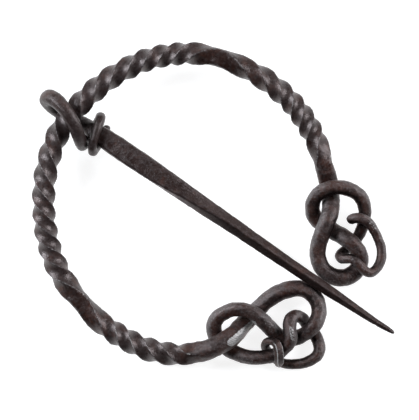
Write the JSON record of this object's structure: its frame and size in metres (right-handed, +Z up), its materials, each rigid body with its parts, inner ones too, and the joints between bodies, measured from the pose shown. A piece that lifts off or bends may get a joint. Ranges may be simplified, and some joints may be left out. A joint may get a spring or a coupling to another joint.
{
  "type": "celtic knot brooch",
  "caption": "Penannular brooch of twisted iron bar: an open hoop with knotted ends and a long pin whose coiled eye turns on the hoop.",
  "frame": {"origin": "middle of the brooch's outline from above, at the surface that it lies on", "axes": "+Z up off that surface, +X towards the right-hand knot, +Y across the page towards the plain top of the hoop"},
  "size_m": [0.0976, 0.0884, 0.0162],
  "materials": {
    "ring_iron": "forged, waxed black scale with brown rust tints and worn bright high spots",
    "pin_iron": "forged, waxed black scale, smoother and brighter along the edges"
  },
  "bodies": {
    "ring": {"ring": "ring_iron"},
    "pin": {"pin": "pin_iron"}
  },
  "joints": [
    {"name": "pin_swing", "type": "hinge", "parent": "ring", "child": "pin", "pos_m": [-0.03881, 0.02391, 0.00876], "axis": [-0.5885, -0.8083, -0.0161], "range_deg": [0, 170]}
  ]
}
